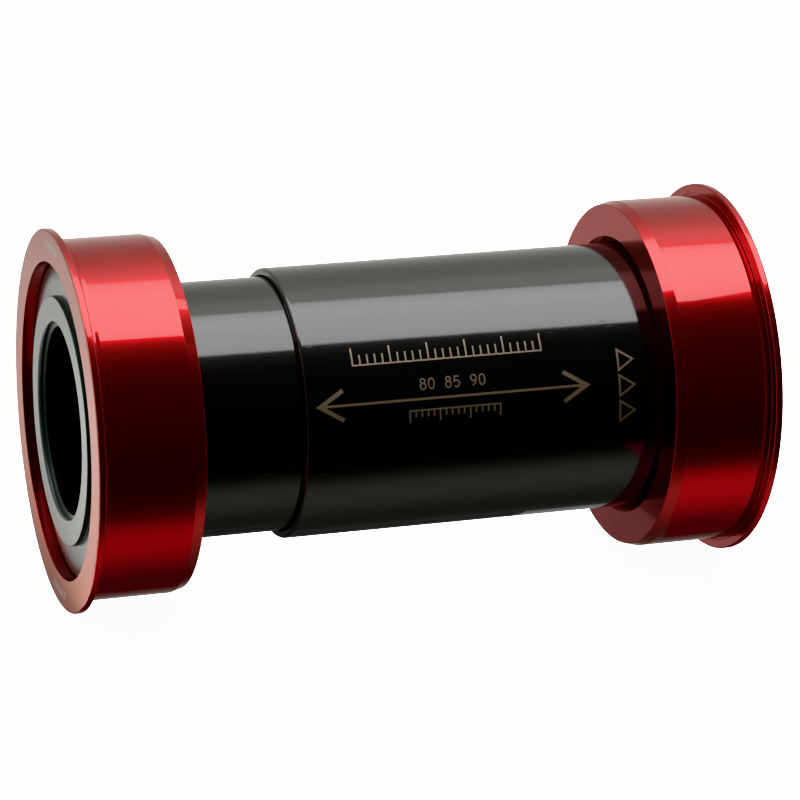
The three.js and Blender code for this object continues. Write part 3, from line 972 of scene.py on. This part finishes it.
# 0 degrees looks level to the front, 90 straight up and -90 straight down
angle = room.node("ShaderNodeMath", {"operation": "ARCTAN2"}, {0: up, 1: front}) * (180 / math.pi)
ZONES = [(-180, 0.85), (-165, 0.95), (-152, 0.4), (-139, 0.2), (-121, 0.18), (-109, 0.25), (-99, 0.4),
         (-90, 0.62), (-80, 0.87), (-72, 0.95), (-65, 0.9), (-58, 0.6), (-52, 0.25), (-45, 0.08),
         (-30, 0.05), (0, 0.07), (30, 0.12), (46, 0.2), (57, 0.5), (63, 0.9), (70, 0.6), (105, 2.1),
         (108, 2.7), (112, 2.6), (119, 2.15), (128, 1.5), (138, 1.1), (149, 0.86), (165, 0.8)]
STRONGEST = 3.0
WARMTH = 0.94  # how much blue the room's paint sends back
stops = [((degrees + 180) / 360, (level / STRONGEST, level / STRONGEST, level / STRONGEST * WARMTH, 1))
         for degrees, level in ZONES]
reflected = room.node("ShaderNodeValToRGB", {"stops": stops}, {"Fac": angle / 360 + 0.5})
reflected = room.node("ShaderNodeVectorMath", {"operation": "SCALE"}, {0: reflected, 3: STRONGEST})
ends = room.step(sideways * -1, 0.55, 0.85) * 0.9 + room.step(sideways, 0.8, 0.95) * 0.8
reflected = room.node("ShaderNodeVectorMath", {"operation": "ADD"}, {0: reflected, 1: ends})
seen = room.node("ShaderNodeLightPath", output="Is Camera Ray")
colour = room.mix(seen, reflected, (1, 1, 1, 1))
room.tree.links.new(colour.socket, room.background.inputs["Color"])
print("the world has", len(room.tree.nodes), "nodes")

# %% Floor
FLOOR = -cup.outer * METRES
mesh = bpy.data.meshes.new("floor")
mesh.from_pydata([(-4, -4, FLOOR), (4, -4, FLOOR), (4, 4, FLOOR), (-4, 4, FLOOR)], [], [(0, 1, 2, 3)])
floor = bpy.data.objects.new("floor", mesh)
floor.visible_glossy = False
floor.visible_diffuse = False
bpy.context.scene.collection.objects.link(floor)
paper = Finish("paper", Base_Color=(0.9, 0.9, 0.9, 1), Roughness=0.9, Emission_Color=(1, 1, 1, 1),
               Emission_Strength=4.0)
mesh.materials.append(paper.material)
floor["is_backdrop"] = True
print("floor at", round(FLOOR, 4))

# %% [markdown]
# What the metal mirrors is drawn with glowing cards that show only in reflections. The softbox's sheet is
# one: it's a little dimmer towards its back edge, which an even lamp can't be. The lamp beside it lights
# what is dull, and doesn't show in reflections itself. The other cards lie on the floor. A white one beside
# the left cup brightens the faces that look that way. A black one under the sleeve stands for the shadow
# that lies there, and a grey one carries on under the right cup, where the shadow is thinner. Two red ones
# are the colour that the cups throw on the table, which comes back to their undersides.

# %% Softbox and cards
def grey(level, green=1.0, blue=1.0):
    return (level, level * green, level * blue, 1)


def card(name, centre, size, turn, brightest, stops):
    """A glowing sheet: its centre in metres, its size in millimetres and its turn about Z in degrees.

    The glow changes along the sheet's own Y, by the stops.
    """
    half = np.array(size) * METRES / 2
    corners = np.array([(-1, -1), (1, -1), (1, 1), (-1, 1)]) * half
    mesh = bpy.data.meshes.new(name)
    mesh.from_pydata([(x, y, 0) for x, y in corners], [], [(0, 1, 2, 3)])
    sheet = bpy.data.objects.new(name, mesh)
    sheet.location = centre
    sheet.rotation_euler[2] = math.radians(turn)
    bpy.context.scene.collection.objects.link(sheet)
    sheet.visible_camera = sheet.visible_diffuse = sheet.visible_shadow = False
    glow = Finish(name, Base_Color=(0, 0, 0, 1), Roughness=1.0, Emission_Strength=brightest)
    place = glow.node("ShaderNodeTexCoord", output="Object")
    y = Value(glow, glow.node("ShaderNodeSeparateXYZ", inputs={0: place}).socket.node.outputs[1])
    share = y / (2 * half[1]) + 0.5
    glow.drive(Emission_Color=glow.node("ShaderNodeValToRGB", {"stops": stops}, {"Fac": share}))
    mesh.materials.append(glow.material)
    sheet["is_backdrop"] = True


SOFTBOX, SOFTBOX_SIZE, SOFTBOX_TURN = (0.04, -0.0376, 0.5), (560, 386), -15
sheet_stops = [(0.0, grey(1.0)), (0.69, grey(1.0)), (0.80, grey(0.92)), (0.90, grey(0.84)),
               (0.97, grey(0.74)), (1.0, grey(0.60))]
card("softbox_sheet", SOFTBOX, SOFTBOX_SIZE, SOFTBOX_TURN, 7.2, sheet_stops)
lamp = bpy.data.lights.new("softbox", "AREA")
lamp.shape = "RECTANGLE"
lamp.size, lamp.size_y = [side * METRES for side in SOFTBOX_SIZE]
lamp.energy = 6.85 * math.pi * lamp.size * lamp.size_y
softbox = bpy.data.objects.new("softbox", lamp)
softbox.location = SOFTBOX
softbox.rotation_euler[2] = math.radians(SOFTBOX_TURN)
softbox.visible_glossy = False
bpy.context.scene.collection.objects.link(softbox)

LYING = FLOOR + 0.0001
white_stops = [(0.0, grey(0.93, 1.0, 0.96)), (0.2, grey(0.93, 1.01, 0.97)), (0.42, grey(1.0, 1.0, 0.96)),
               (0.54, grey(0.91, 1.01, 0.97)), (0.70, grey(0.65, 1.02, 0.98)),
               (0.79, grey(0.70, 1.02, 0.98)), (1.0, grey(0.72, 1.02, 1.0))]
card("white_card", (-0.125, 0.09, LYING), (126, 240), 8.5, 2.5, white_stops)
card("black_card", (-0.01, 0.03, LYING), (60, 60), 0, 0.12, [(0.0, grey(1.0))])
card("grey_card", (0.04, 0.03, LYING), (40, 60), 0, 0.45, [(0.0, grey(1.0))])
red_stops = [(0.0, 0.15), (0.125, 0.45), (0.214, 0.70), (0.314, 0.90), (0.46, 0.88), (0.582, 0.60),
             (0.686, 0.33), (0.779, 0.17), (0.861, 0.12), (1.0, 0.12)]
red_stops = [(share, grey(level, 0.25, 0.3)) for share, level in red_stops]
card("left_red_card", (-0.0375, -0.022, LYING), (21, 28), 0, 1.0, red_stops)
card("right_red_card", (0.043, -0.022, LYING), (14, 28), 0, 1.3, red_stops)
print("6 cards and 1 lamp")

# %% [markdown]
# ## The camera
# A long lens from the front left and a little above shows the left cup's face, the whole length of the
# sleeve and the inside edge of the right cup. The neutral view transform is made for pictures of goods:
# it keeps colours as they are, and only rolls off what is brighter than paper.

# %% Camera
lens = bpy.data.cameras.new("camera")
lens.lens, lens.sensor_width = 158.06, 36.0
camera = bpy.data.objects.new("camera", lens)
ahead, above = Vector((0.29419, 0.91746, -0.26779)).normalized(), Vector((0.08177, 0.25500, 0.96348))
right = ahead.cross(above).normalized()
above = right.cross(ahead)
turn = Matrix((right, above, -ahead)).transposed().to_4x4()
camera.matrix_world = Matrix.Translation((-0.13369, -0.42043, 0.12166)) @ turn
bpy.context.scene.collection.objects.link(camera)
bpy.context.scene.camera = camera
bpy.context.scene.view_settings.view_transform = "Khronos PBR Neutral"
print("camera at", [round(c, 3) for c in camera.location])

# %% [markdown]
# ## Sizes
# The fine pieces must not change the size of the unit, so its box is written down twice: as packed, and
# as it looks now.

# %% Finish
FINE_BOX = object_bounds()
for name, (low, high) in (("packed", CAD_BOX), ("fine", FINE_BOX)):
    print(name, "size", [round((b - a) / METRES, 2) for a, b in zip(low, high)])
